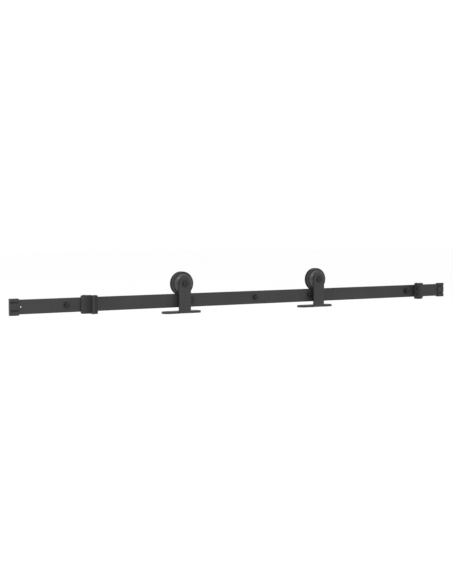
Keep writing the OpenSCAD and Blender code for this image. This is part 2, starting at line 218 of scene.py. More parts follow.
def satinDome(name, centre):
    look = {"dark": 0.018, "light": 0.024, "grain": 0.35 * mm, "lines": 0.30 * mm, "wander": 9 * mm,
            "clouds": 16 * mm, "roughness": 0.40, "depth": 0.02 * mm}
    p = Paint(name, "hub_cover", centre)
    grain = p.noise(look["grain"])
    rings = p.rings(look["lines"], p.noise(look["wander"]) * 4.0)
    cloud = p.noise(look["clouds"])
    tone = p.blend(cloud, grey(look["dark"]), grey(look["light"]))
    rough = look["roughness"] + (grain - 0.5) * 0.10 + (cloud - 0.5) * 0.06
    relief = p.relief(rings * 0.3 + grain * 0.7, look["depth"], 0.4)
    return p.done(tone, rough, relief, Specular_IOR_Level=0.45)


def sparkedPlastic():
    # fine pits from a spark-eroded mould; the finger grooves' floors, between two depths, get painted shade
    look = {"dark": 0.017, "light": 0.024, "rubbed": 0.045, "paintedGrooveShade": 0.004, "floorFrom": -38.4 * mm,
            "floorTo": -37.4 * mm, "pits": 0.55 * mm, "grain": 0.25 * mm, "clouds": 18 * mm,
            "roughness": 0.56, "depth": 0.06 * mm}
    p = Paint("moulded cap plastic", "cap_plastic")
    pits = p.cells(look["pits"])
    grain = p.noise(look["grain"], 2.0)
    cloud = p.noise(look["clouds"], 2.0)
    tone = p.blend(cloud * 0.6 + pits * 0.4, grey(look["dark"]), grey(look["light"]))
    tone = p.blend(grain.step(0.68, 0.78) * 0.3, tone, grey(look["rubbed"]))
    # painted shade: the front-facing floors of the finger grooves are darkened to stand in for the grooves'
    # shadow
    paintedGrooveShade = p.y.step(look["floorFrom"], look["floorTo"]) * (0 - p.facing(1)).step(0.6, 0.9)
    tone = p.blend(paintedGrooveShade * 0.8, tone, grey(look["paintedGrooveShade"]))
    rough = look["roughness"] + (pits - 0.4) * 0.12
    relief = p.relief(pits * 0.6 + grain * 0.4, look["depth"], 0.6)
    return p.done(tone, rough, relief, Specular_IOR_Level=0.28)


def bufferRubber():
    look = {"dark": 0.009, "light": 0.014, "bloom": 0.024, "grain": 0.4 * mm, "blooms": 7 * mm,
            "roughness": 0.78, "depth": 0.07 * mm}
    p = Paint("buffer rubber", "buffer_rubber")
    grain = p.noise(look["grain"], 4.0, 0.65)
    bloom = p.noise(look["blooms"], 3.0).step(0.5, 0.75)
    tone = p.blend(grain, grey(look["dark"]), grey(look["light"]))
    tone = p.blend(bloom * 0.35, tone, grey(look["bloom"], -0.02))
    rough = look["roughness"] + (grain - 0.5) * 0.2
    return p.done(tone, rough, p.relief(grain, look["depth"], 0.6), Specular_IOR_Level=0.3)


def groundSteel(name, centre):
    look = {"dark": 0.38, "light": 0.60, "stain": 0.20, "bands": 0.12 * mm, "lines": 0.18 * mm,
            "wander": 5 * mm, "stains": 3 * mm, "roughness": 0.22, "depth": 0.01 * mm}
    p = Paint(name, "bearing_steel", centre)
    bands = p.noise(look["bands"], 2.0, 0.5, p.stretched((0.0, 0.2, 0.0)))
    lines = p.rings(look["lines"], p.noise(look["wander"]) * 5.0)
    tone = p.blend(lines * 0.6 + bands * 0.4, grey(look["dark"]), grey(look["light"], 0.01))
    tone = p.blend(p.noise(look["stains"], 4.0).step(0.6, 0.85) * 0.4, tone, grey(look["stain"], 0.03))
    rough = look["roughness"] + lines * 0.12
    return p.done(tone, rough, p.relief(lines, look["depth"], 0.5), Metallic=1.0)


def pressedBrass():
    look = {"dark": (0.36, 0.24, 0.08, 1), "light": (0.62, 0.45, 0.18, 1), "stains": 2.5 * mm,
            "grain": 0.3 * mm, "roughness": 0.30, "depth": 0.02 * mm}
    p = Paint("pressed brass", "cage_brass")
    stain = p.noise(look["stains"], 4.0)
    tone = p.blend(stain.step(0.3, 0.7), look["dark"], look["light"])
    rough = look["roughness"] + stain * 0.15
    return p.done(tone, rough, p.relief(p.noise(look["grain"]), look["depth"], 0.5), Metallic=1.0)


# shaping

def filleted(corners, steps=5):
    # corner points (x, y, radius) become an outline with round corners
    outline = []
    for i, (x, y, radius) in enumerate(corners):
        here = Vector((x, y))
        if radius == 0:
            outline.append(here)
            continue
        before = (Vector(corners[i - 1][:2]) - here).normalized()
        after = (Vector(corners[(i + 1) % len(corners)][:2]) - here).normalized()
        half = before.angle(after) / 2
        middle = here + (before + after).normalized() * (radius / math.sin(half))
        start = here + before * (radius / math.tan(half)) - middle
        sweep = math.copysign(math.pi - 2 * half, after.cross(before))
        for k in range(steps + 1):
            spoke = start.copy()
            spoke.rotate(Matrix.Rotation(sweep * k / steps, 2))
            outline.append(middle + spoke)
    apart = 0.05 * mm  # points nearer than this would make slivers
    return [p for i, p in enumerate(outline) if (p - outline[i - 1]).length > apart]


def roundedBox(half, low, high, lowRound, highRound):
    # a rectangle's outline with round corners, the same on both sides of x = 0
    return filleted([(half, low, lowRound), (half, high, highRound),
                     (-half, high, highRound), (-half, low, lowRound)], 6)


def ring(bore, outer, front, back, rounds, steps=3):
    # a ring's section, to be turned; rounds are its edges', from the bore's front edge to its back edge
    corners = [(bore, front), (outer, front), (outer, back), (bore, back)]
    return filleted([(r, y, fillet) for (r, y), fillet in zip(corners, rounds)], steps)


def turned(outline, steps=96, closed=True):
    # spins an outline of (radius, along) points about the Y axis
    bm = bmesh.new()
    verts = [bm.verts.new((r, y, 0)) for r, y in outline]
    ends = verts[1:] + verts[:1] if closed else verts[1:]
    edges = [bm.edges.new(pair) for pair in zip(verts, ends)]
    bmesh.ops.spin(bm, geom=verts + edges, cent=(0, 0, 0), axis=(0, 1, 0),
                   angle=fullTurn, steps=steps, use_merge=True)
    bmesh.ops.remove_doubles(bm, verts=bm.verts, dist=0.001 * mm)
    return bm


def ringOfEdges(bm, verts):
    inside = set(verts)
    return [e for e in bm.edges if set(e.verts) <= inside]


def circleAt(bm, x, y, z, radius, segments=32):
    lying = Matrix.Translation((x, y, z)) @ Matrix.Rotation(math.pi / 2, 4, "X")
    return bmesh.ops.create_circle(bm, segments=segments, radius=radius, matrix=lying)["verts"]


def pulled(bm, edges, change):
    # extrudes a loop of edges, moves its new points by change, and returns the new loop
    made = bmesh.ops.extrude_edge_only(bm, edges=edges)["geom"]
    verts = [g for g in made if isinstance(g, bmesh.types.BMVert)]
    for v in verts:
        v.co = change(v.co)
    return ringOfEdges(bm, verts)


def filled(bm, edges):
    # a flat fill between loops; the fill needs distances well above its own 0.03 limit
    bmesh.ops.scale(bm, vec=(1000, 1000, 1000), verts=bm.verts)
    bmesh.ops.triangle_fill(bm, edges=edges, use_beauty=True)
    bmesh.ops.scale(bm, vec=(mm, mm, mm), verts=bm.verts)


def plate(outline, thickness, holes=()):
    # a plate in X and Z from y = 0 back to y = thickness
    # a hole is its centre and then its (radius, depth) steps, from front to back
    bm = bmesh.new()
    verts = [bm.verts.new((x, 0, z)) for x, z in outline]
    rim = [bm.edges.new(pair) for pair in zip(verts, verts[1:] + verts[:1])]
    rims = [ringOfEdges(bm, circleAt(bm, x, 0, z, steps[0][0])) for (x, z), steps in holes]
    filled(bm, rim + [e for r in rims for e in r])
    back = pulled(bm, rim, lambda co: co + Vector((0, thickness, 0)))
    for ((x, z), steps), edges in zip(holes, rims):
        for (radius, depth), (nextRadius, nextDepth) in zip(steps, steps[1:]):
            centre = Vector((x, depth, z))
            shift = Vector((0, nextDepth - depth, 0))
            edges = pulled(bm, edges, lambda co: centre + (co - centre) * (nextRadius / radius) + shift)
        back += edges
    filled(bm, back)
    return bm


def bendLength(thickness, radius):
    # what a square fold round an inside radius takes up of a flat plate
    return (radius + thickness / 2) * math.pi / 2


def folded(bm, thickness, radius, steps=6):
    # folds what hangs below z = 0 backwards, round an inside radius
    arc = bendLength(thickness, radius)
    for k in range(steps + 1):
        geom = bm.verts[:] + bm.edges[:] + bm.faces[:]
        bmesh.ops.bisect_plane(bm, geom=geom, dist=hair, plane_co=(0, 0, -arc * k / steps),
                               plane_no=(0, 0, 1))
    for v in bm.verts:
        drop = -v.co.z
        if drop <= 0:
            continue
        angle = min(drop / arc, 1) * math.pi / 2
        reach = thickness + radius - v.co.y
        v.co.y = thickness + radius - reach * math.cos(angle) + max(drop - arc, 0)
        v.co.z = -reach * math.sin(angle)
    return bm


def hexagonal(co, acrossFlats, turn):
    # moves a point outwards or inwards onto a hexagon about the Y axis
    angle = math.atan2(co.z, co.x)
    offFlat = (angle + turn) % (math.pi / 3) - math.pi / 6
    reach = acrossFlats / 2 / math.cos(offFlat)
    return Vector((reach * math.cos(angle), co.y, reach * math.sin(angle)))


def hexHead(acrossFlats, height, turn=math.pi / 6, bore=None):
    # a hexagon from y = 0 out to y = -height, its corners turned off by a 30 degree cone
    crown = acrossFlats * 0.475  # radius of the flat on top
    bm = bmesh.new()
    base = circleAt(bm, 0, 0, 0, acrossFlats / 2, 96)
    for v in base:
        v.co = hexagonal(v.co, acrossFlats, turn)
    edges = ringOfEdges(bm, base)

    def coned(co):
        reach = math.hypot(co.x, co.z)
        return Vector((co.x, -height + (reach - crown) * math.tan(math.pi / 6), co.z))

    def rounded(co, radius, y):
        scale = radius / math.hypot(co.x, co.z)
        return Vector((co.x * scale, y, co.z * scale))

    top = pulled(bm, edges, coned)
    top = pulled(bm, top, lambda co: rounded(co, crown, -height))
    inner = bore or crown * 0.9  # a head with no bore closes just inside that flat's edge
    top = pulled(bm, top, lambda co: rounded(co, inner, -height))
    if bore:
        top = pulled(bm, top, lambda co: rounded(co, bore, 0))
        bmesh.ops.bridge_loops(bm, edges=edges + top)
    else:
        bmesh.ops.contextual_create(bm, geom=top)
        bmesh.ops.contextual_create(bm, geom=edges)
    return bm


def threaded(major, minor, pitch, length, tip=0.0, steps=20):
    # a right-hand screw thread about the Y axis from y = 0 to y = length, pointed over its tip
    # shares of the pitch, and for the point, of the radius
    shares = {"root": 0.2, "crestFrom": 0.55, "crestTo": 0.65, "point": 0.08}
    section = [(minor, 0.0), (minor, shares["root"]), (major, shares["crestFrom"]),
               (major, shares["crestTo"]), (minor, 1.0)]
    turns = math.ceil(length / pitch) + 2
    bm = bmesh.new()
    verts = [bm.verts.new((r, (share - 1) * pitch, 0)) for r, share in section]
    edges = [bm.edges.new(pair) for pair in zip(verts, verts[1:])]
    bmesh.ops.spin(bm, geom=verts + edges, cent=(0, 0, 0), axis=(0, 1, 0), dvec=(0, pitch / steps, 0),
                   angle=-fullTurn * turns, steps=steps * turns)
    bmesh.ops.remove_doubles(bm, verts=bm.verts, dist=0.002 * mm)
    for y, outward in ((0, -1), (length, 1)):
        geom = bm.verts[:] + bm.edges[:] + bm.faces[:]
        cut = bmesh.ops.bisect_plane(bm, geom=geom, dist=hair, plane_co=(0, y, 0),
                                     plane_no=(0, outward, 0), clear_outer=True)["geom_cut"]
        bmesh.ops.contextual_create(bm, geom=[g for g in cut if isinstance(g, bmesh.types.BMEdge)])
    for v in bm.verts:
        if tip and v.co.y > length - tip:
            slim = max((length - v.co.y) / tip, shares["point"])
            v.co.x *= slim
            v.co.z *= slim
    return bm


def joined(parts):
    # several bmeshes as one; each part is a bmesh and the matrix that places it
    whole = bmesh.new()
    for bm, matrix in parts:
        bmesh.ops.transform(bm, matrix=matrix, verts=bm.verts)
        mesh = bpy.data.meshes.new("part")
        bm.to_mesh(mesh)
        bm.free()
        whole.from_mesh(mesh)
        bpy.data.meshes.remove(mesh)
    return whole


def at(x=0.0, y=0.0, z=0.0):
    return Matrix.Translation((x, y, z))


turnedAbout = Matrix.Rotation(math.pi, 4, "Z")  # swaps front and back of a piece built along Y


def show(bm, node, body, paint, edge=0.0, edgeSteps=2):
    # makes the piece that stands for a CAD node, softens its edges, and hands it to its body
    name = node + "_fine"
    bmesh.ops.remove_doubles(bm, verts=bm.verts, dist=0.0005 * mm)
    bmesh.ops.recalc_face_normals(bm, faces=bm.faces)
    mesh = bpy.data.meshes.new(name)
    bm.to_mesh(mesh)
    bm.free()
    mesh.polygons.foreach_set("use_smooth", [True] * len(mesh.polygons))
    mesh.set_sharp_from_angle(angle=sharpAngle)
    mesh.materials.append(paint.material)
    piece = bpy.data.objects.new(name, mesh)
    bpy.context.scene.collection.objects.link(piece)
    if edge:
        bevel = piece.modifiers.new("edges", "BEVEL")
        bevel.width = edge
        bevel.segments = edgeSteps
        bevel.limit_method = "ANGLE"
        bevel.angle_limit = sharpAngle
        bevel.harden_normals = True
    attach(piece, body)
    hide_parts(node)
    return piece


def centreOf(node):
    low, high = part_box(node)
    return (low + high) / 2


# camera, light and floor

camera = {"place": (-1.6515, -2.7168, 0.2220), "yaw": 30.154, "pitch": -3.733, "lens": 63.73}


def setCamera():
    data = bpy.data.cameras.new("camera")
    data.lens = camera["lens"]
    data.clip_end = 60.0
    viewer = bpy.data.objects.new("camera", data)
    viewer.location = camera["place"]
    viewer.rotation_euler = (math.radians(90 + camera["pitch"]), 0, math.radians(-camera["yaw"]))
    bpy.context.scene.collection.objects.link(viewer)
    bpy.context.scene.camera = viewer


def setLight():
    world = bpy.data.worlds.new("studio")
    bpy.context.scene.world = world
    world.use_nodes = True
    sky = world.node_tree.nodes["Background"]
    sky.inputs["Color"].default_value = (1, 1, 1, 1)
    sky.inputs["Strength"].default_value = 1.0
    softboxes = [
        {"name": "key", "place": (-1.2, -3.5, 2.7), "size": 0.55, "power": 85},
        {"name": "side", "place": (-4.4, -1.2, 1.7), "size": 3.2, "power": 45},
        {"name": "overhead", "place": (0.3, 0.6, 3.2), "size": 3.0, "power": 60},
    ]
    for box in softboxes:
        light = bpy.data.lights.new(box["name"], "AREA")
        light.size = box["size"]
        light.energy = box["power"]
        lamp = bpy.data.objects.new(box["name"], light)
        lamp.location = box["place"]
        lamp.rotation_euler = (-Vector(box["place"])).to_track_quat("-Z", "Y").to_euler()
        bpy.context.scene.collection.objects.link(lamp)
    bpy.context.scene.view_settings.view_transform = "Standard"


def setFloor():
    ground = {"reach": 30, "drop": 0.7, "pale": 0.98, "paler": 0.998, "clouds": 0.4, "roughness": 0.9,
              "texture": 0.02, "depth": 0.1 * mm}
    bm = bmesh.new()
    bmesh.ops.create_grid(bm, x_segments=1, y_segments=1, size=ground["reach"], matrix=at(z=-ground["drop"]))
    mesh = bpy.data.meshes.new("floor")
    bm.to_mesh(mesh)
    bm.free()
    p = Paint("floor", None)
    tone = p.blend(p.noise(ground["clouds"], 2.0), grey(ground["pale"]), grey(ground["paler"]))
    p.done(tone, ground["roughness"], p.relief(p.noise(ground["texture"]), ground["depth"], 0.2))
    mesh.materials.append(p.material)
    floor = bpy.data.objects.new("floor", mesh)
    bpy.context.scene.collection.objects.link(floor)


setCamera()
setLight()
setFloor()
print("stage set")

railLow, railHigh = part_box("rail")
railMid = (railLow + railHigh) / 2
fixings = [centreOf("wall_spacer_%d" % n).x for n in range(1, 6)]
coat = powderCoat()
oxide = blackOxide()
capPlastic = sparkedPlastic()
rubber = bufferRubber()
brass = pressedBrass()


# rail group

def makeRail():
    size = {"fixHole": 4.5 * mm, "endHole": 2.25 * mm, "endInset": 29 * mm, "edge": 0.8 * mm,
            "lip": 0.35 * mm, "rimStep": 1.2 * mm}  # rimStep is longer than any edge round a hole
    near = 0.01 * mm
    half = (railHigh.z - railLow.z) / 2
    thick = railHigh.y - railLow.y
    endX = railHigh.x - size["endInset"]
    drilled = [(-endX, size["endHole"])] + [(x, size["fixHole"]) for x in fixings] + [(endX, size["endHole"])]
    bm = bmesh.new()

    def sideOf(verts, x):
        return [e for e in ringOfEdges(bm, verts) if all(abs(v.co.x - x) < near for v in e.verts)]

    sides = []
    for x, radius in drilled:
        hole = circleAt(bm, x, railLow.y, 0, radius)
        frameVerts = circleAt(bm, x, railLow.y, 0, half)
        for v in frameVerts:  # the outer ring becomes a square as tall as the bar
            offset = v.co.x - x
            reach = max(abs(offset), abs(v.co.z))
            v.co.x = x + offset * half / reach
            v.co.z *= half / reach
        bmesh.ops.bridge_loops(bm, edges=ringOfEdges(bm, hole) + ringOfEdges(bm, frameVerts))
        sides += [sideOf(frameVerts, x - half), sideOf(frameVerts, x + half)]
    for right, left in zip(sides[1::2], sides[2::2]):
        bmesh.ops.bridge_loops(bm, edges=right + left)
    for edges, x in ((sides[0], railLow.x), (sides[-1], railHigh.x)):
        pulled(bm, edges, lambda co: Vector((x, co.y, co.z)))
    solid = bmesh.ops.extrude_face_region(bm, geom=bm.faces[:], use_keep_orig=True)["geom"]
    for v in (g for g in solid if isinstance(g, bmesh.types.BMVert)):
        v.co.y += thick
    bmesh.ops.recalc_face_normals(bm, faces=bm.faces)
    sharp = [e for e in bm.edges if len(e.link_faces) == 2 and e.calc_face_angle() > 1]
    rims = [e for e in sharp if e.calc_length() < size["rimStep"]
            and all(abs(v.co.z) < half / 2 for v in e.verts)]
    bmesh.ops.bevel(bm, geom=rims, offset=size["lip"], segments=2, profile=0.5, affect="EDGES", material=-1)
    long = [e for e in bm.edges if e.calc_face_angle(0) > 1
            and all(abs(v.co.z) > half - near for v in e.verts)]
    bmesh.ops.bevel(bm, geom=long, offset=size["edge"], segments=3, profile=0.5, affect="EDGES", material=-1)
    show(bm, "rail", "rail", coat)


def makeEndCap(side, node):
    cap = {"groove": 3.6 * mm, "grooveZ": 11 * mm, "lift": 2 * mm, "slope": 2.06 * mm, "deep": 2.2 * mm,
           "end": 3 * mm, "slotY": 3.02 * mm, "slotZ": 20.02 * mm, "edge": 0.45 * mm}
    low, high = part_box(node)
    mid = (low + high) / 2
    length, depth, height = high - low
    face, floor = -depth / 2, cap["deep"] - depth / 2
    outline = [(face, -height / 2), (-face, -height / 2), (-face, height / 2), (face, height / 2)]
    for groove in (cap["lift"] + cap["grooveZ"], cap["lift"] - cap["grooveZ"]):
        top, foot = groove + cap["groove"] / 2, groove - cap["groove"] / 2  # square above, sloping below
        outline += [(face, top), (floor, top), (floor, foot), (face, foot - cap["slope"])]
    bm = bmesh.new()
    inner = [bm.verts.new((-length / 2, y, z)) for y, z in outline]
    mouth = [bm.edges.new(pair) for pair in zip(inner, inner[1:] + inner[:1])]
    bmesh.ops.contextual_create(bm, geom=pulled(bm, mouth, lambda co: co + Vector((length, 0, 0))))
    corners = [bm.verts.new((-length / 2, y * cap["slotY"], z * cap["slotZ"]))
               for y, z in ((-1, -1), (1, -1), (1, 1), (-1, 1))]
    slot = [bm.edges.new(pair) for pair in zip(corners, corners[1:] + corners[:1])]
    filled(bm, mouth + slot)
    bottom = pulled(bm, slot, lambda co: co + Vector((length - cap["end"], 0, 0)))
    bmesh.ops.contextual_create(bm, geom=bottom)
    placed = at(*mid) @ Matrix.Diagonal((side, 1, 1, 1))
    bmesh.ops.transform(bm, matrix=placed, verts=bm.verts)
    show(bm, node, "rail", capPlastic, edge=cap["edge"], edgeSteps=3)


def makeSpacer(n):
    tube = {"outer": 12.5 * mm, "bore": 4.5 * mm, "rounds": (0.3 * mm, 0.7 * mm, 0.7 * mm, 0.3 * mm)}
    node = "wall_spacer_%d" % n
    low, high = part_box(node)
    bm = turned(ring(tube["bore"], tube["outer"], low.y, high.y, tube["rounds"]), 72)
    bmesh.ops.translate(bm, vec=(fixings[n - 1], 0, 0), verts=bm.verts)
    show(bm, node, "rail", coat)


def makeWallScrews():
    lag = {"flats": 13 * mm, "head": 5.5 * mm, "shank": 3.6 * mm, "major": 4.0 * mm, "minor": 3.0 * mm,
           "pitch": 3.0 * mm, "tip": 7.0 * mm, "neck": 0.8 * mm, "inHead": 0.1 * mm}
    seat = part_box("wall_washers")[0].y
    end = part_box("wall_lag_screws")[1].y
    top, neck = seat - lag["inHead"], lag["neck"]
    parts = []
    for x in fixings:
        shank = turned([(0.0, top), (lag["shank"], top), (lag["shank"], 0), (lag["minor"], neck),
                        (0.0, neck)], 40, closed=False)
        thread = threaded(lag["major"], lag["minor"], lag["pitch"], end, lag["tip"])
        parts += [(hexHead(lag["flats"], lag["head"]), at(x, seat)), (shank, at(x)), (thread, at(x))]
    show(joined(parts), "wall_lag_screws", "rail", oxide)


def makeWashers():
    # stamped, so the front edge is rolled and the others are nearly sharp
    washer = {"outer": 7.0 * mm, "hole": 4.2 * mm, "rounds": (0.15 * mm, 0.5 * mm, 0.15 * mm, 0.15 * mm)}
    low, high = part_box("wall_washers")
    outline = ring(washer["hole"], washer["outer"], low.y, high.y, washer["rounds"], 2)
    show(joined([(turned(outline, 64), at(x)) for x in fixings]), "wall_washers", "rail", oxide)


makeRail()
makeEndCap(-1, "end_cap_left")
makeEndCap(1, "end_cap_right")
for n in range(1, 6):
    makeSpacer(n)
makeWallScrews()
makeWashers()
print("rail group made")


# hangers

def makeStrap(side, axle):
    strap = {"half": 19 * mm, "thick": 6 * mm, "inner": 1.5 * mm, "bore": 5.05 * mm, "plateHalf": 63 * mm,
             "plateDeep": 35 * mm, "screwX": 48 * mm, "screwY": 8 * mm, "hole": 2.75 * mm,
             "sink": 5.2 * mm, "sinkDeep": 2.6 * mm, "edge": 0.45 * mm, "lip": 0.4 * mm,
             "notch": 0.6 * mm}  # the round in the corners between strap and plate
    node = side + "_hanger_strap"
    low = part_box(node)[0]
    foldZ = low.z + strap["thick"] + strap["inner"]
    rise = axle.z - foldZ
    plateTop = -bendLength(strap["thick"], strap["inner"])
    plateEnd = plateTop - strap["plateDeep"]
    half, wide, notch = strap["half"], strap["plateHalf"], strap["notch"]
    crown = strap["plateDeep"] / 2 - 0.01 * mm  # the plate's ends are all but half round
    outline = filleted([
        (half, plateTop, notch), (wide, plateTop, crown), (wide, plateEnd, crown),
        (-wide, plateEnd, crown), (-wide, plateTop, crown), (-half, plateTop, notch),
    ], 16)
    top = [Vector((half * math.cos(a), rise + half * math.sin(a)))
           for a in (math.pi * (1 - k / 32) for k in range(33))]
    outline += top
    middle = (plateTop + plateEnd) / 2
    holes = [((0, rise), [(strap["bore"] + strap["lip"], 0), (strap["bore"], strap["lip"]),
                          (strap["bore"], strap["thick"])])]
    sunk = [(strap["hole"], 0), (strap["hole"], strap["thick"] - strap["sinkDeep"]),
            (strap["sink"], strap["thick"])]
    for x in (-strap["screwX"], strap["screwX"]):
        for z in (middle - strap["screwY"], middle + strap["screwY"]):
            holes.append(((x, z), sunk))
    bm = folded(plate(outline, strap["thick"], holes), strap["thick"], strap["inner"])
    bmesh.ops.transform(bm, matrix=at(axle.x, low.y, foldZ), verts=bm.verts)
    show(bm, node, side + "_hanger", coat, edge=strap["edge"])


def makeAxle(side, axle):
    bolt = {"flats": 16 * mm, "head": 4.8 * mm, "shank": 5 * mm, "root": 4.2 * mm, "pitch": 1.5 * mm,
            "crest": 4.97 * mm, "inHead": 0.1 * mm, "runOut": 0.6 * mm, "nose": 0.8 * mm, "noseR": 3.6 * mm}
    node = side + "_axle_bolt"
    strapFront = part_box(side + "_hanger_strap")[0].y
    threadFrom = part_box(side + "_axle_washer")[1].y
    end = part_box(node)[1].y
    top, below = strapFront - bolt["inHead"], threadFrom + bolt["runOut"]
    shank = turned([(0.0, top), (bolt["shank"], top), (bolt["shank"], threadFrom), (bolt["root"], below),
                    (0.0, below)], 48, closed=False)
    thread = threaded(bolt["crest"], bolt["root"], bolt["pitch"], end - threadFrom - bolt["nose"])
    nose = turned([(0.0, 0.0), (bolt["root"], 0.0), (bolt["noseR"], bolt["nose"]), (0.0, bolt["nose"])],
                  48, closed=False)
    bm = joined([
        (hexHead(bolt["flats"], bolt["head"]), at(axle.x, strapFront, axle.z)),
        (shank, at(axle.x, 0, axle.z)),
        (thread, at(axle.x, threadFrom, axle.z)),
        (nose, at(axle.x, end - bolt["nose"], axle.z)),
    ])
    show(bm, node, side + "_hanger", oxide)


def makeAxleStack(side, axle, steel):
    stack = {"spacer": 7 * mm, "washer": 8 * mm, "bore": 5.1 * mm,
             "rounds": (0.2 * mm, 0.35 * mm, 0.35 * mm, 0.2 * mm)}
    for piece, paint in (("spacer", steel), ("washer", oxide)):
        node = side + "_axle_" + piece
        low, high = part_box(node)
        bm = turned(ring(stack["bore"], stack[piece], low.y, high.y, stack["rounds"]), 64)
        show(joined([(bm, at(axle.x, 0, axle.z))]), node, side + "_hanger", paint)


def makeLockNut(side, axle):
    # a plain hexagon with a round collar behind it, which holds the locking ring
    nut = {"flats": 16 * mm, "bore": 5.1 * mm, "collar": 3 * mm, "collarR": 7.2 * mm, "inHexagon": 0.1 * mm,
           "rounds": (0, 0, 1.2 * mm, 0.3 * mm)}
    node = side + "_lock_nut"
    low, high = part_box(node)
    thick = high.y - low.y
    hexHigh = thick - nut["collar"]
    collar = ring(nut["bore"], nut["collarR"], hexHigh - nut["inHexagon"], thick, nut["rounds"], 5)
    bm = joined([
        (hexHead(nut["flats"], hexHigh, 0.0, nut["bore"]), at(axle.x, low.y, axle.z) @ turnedAbout),
        (turned(collar, 64), at(axle.x, low.y, axle.z)),
    ])
    show(bm, node, side + "_hanger", oxide)


def makeBearing(side, axle, steel):
    bearing = {"bore": 5.02 * mm, "innerR": 8.4 * mm, "outerR": 11.6 * mm, "outside": 15 * mm,
               "pitchR": 10 * mm, "race": 2.55 * mm, "ball": 2.38 * mm, "balls": 8,
               "rounds": (0.15 * mm, 0.5 * mm, 0.5 * mm, 0.15 * mm)}
    shield = {"low": 8.75 * mm, "high": 11.55 * mm, "rim": 10.95 * mm, "step": 10.55 * mm, "thick": 0.35 * mm,
              "dish": 0.25 * mm, "inset": 0.35 * mm}
    low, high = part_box(side + "_bearing_outer_ring")
    half = (high.y - low.y) / 2
    placed = at(*axle)

    def track(shoulder, away):
        # the round track between the two shoulders, from front to back
        top = math.acos((shoulder - bearing["pitchR"]) * away / bearing["race"])
        angles = [-top + 2 * top * k / 12 for k in range(13)]
        return [(bearing["pitchR"] + away * bearing["race"] * math.cos(a), bearing["race"] * math.sin(a))
                for a in angles]

    for piece, shoulder, edge, away, body in (
            ("_bearing_inner_ring", bearing["innerR"], bearing["bore"], -1, "_hanger"),
            ("_bearing_outer_ring", bearing["outerR"], bearing["outside"], 1, "_wheel")):
        section = ring(shoulder, edge, half, -half, bearing["rounds"])
        bm = turned([tuple(v) for v in section] + track(shoulder, away), 96)
        show(joined([(bm, placed)]), side + piece, side + body, steel)
    balls = bmesh.new()
    for n in range(bearing["balls"]):
        spot = placed @ Matrix.Rotation(fullTurn * n / bearing["balls"], 4, "Y") @ at(bearing["pitchR"])
        bmesh.ops.create_uvsphere(balls, u_segments=24, v_segments=16, radius=bearing["ball"], matrix=spot)
    show(balls, side + "_bearing_balls", side + "_ball_set", steel)
    step = [(shield["high"], 0.0), (shield["rim"], 0.0), (shield["step"], -shield["dish"]),
            (shield["low"], -shield["dish"])]
    outline = step + [(r, y - shield["thick"]) for r, y in reversed(step)]
    depth = half - shield["inset"]
    bm = joined([(turned(outline, 72), placed @ at(y=depth)),
                 (turned(outline, 72), placed @ at(y=-depth) @ turnedAbout)])
    show(bm, side + "_bearing_shields", side + "_wheel", steel)


def makeCirclip(side, axle):
    clip = {"outer": 15.9 * mm, "inner": 13.0 * mm, "thick": 1.1 * mm, "open": 40, "lug": 2.1 * mm,
            "eye": 0.8 * mm, "lugAt": 11.74 * mm, "round": 0.15 * mm}
    node = side + "_circlip"
    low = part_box(node)[0]
    bm = bmesh.new()
    bmesh.ops.create_grid(bm, x_segments=1, y_segments=1, size=0.5)
    for v in bm.verts:  # the cross-section stands in X and Y
        v.co = Vector(((clip["inner"] if v.co.x < 0 else clip["outer"]),
                       (0 if v.co.y < 0 else clip["thick"]), 0))
    gap = math.radians(clip["open"])
    bmesh.ops.spin(bm, geom=bm.faces[:] + bm.edges[:] + bm.verts[:], cent=(0, 0, 0), axis=(0, 1, 0),
                   angle=fullTurn - gap, steps=60)
    body = (bm, Matrix.Rotation(gap / 2 - math.pi / 2, 4, "Y"))
    lugs = []
    for sign in (-1, 1):
        ear = ring(clip["eye"], clip["lug"], 0, clip["thick"], (0, clip["round"], clip["round"], 0), 2)
        spot = Matrix.Rotation(sign * gap / 2 - math.pi / 2, 4, "Y") @ at(clip["lugAt"])
        lugs.append((turned(ear, 28), spot))
    whole = joined([body] + lugs)
    bmesh.ops.transform(whole, matrix=at(axle.x, low.y, axle.z), verts=whole.verts)
    show(whole, node, side + "_wheel", oxide)


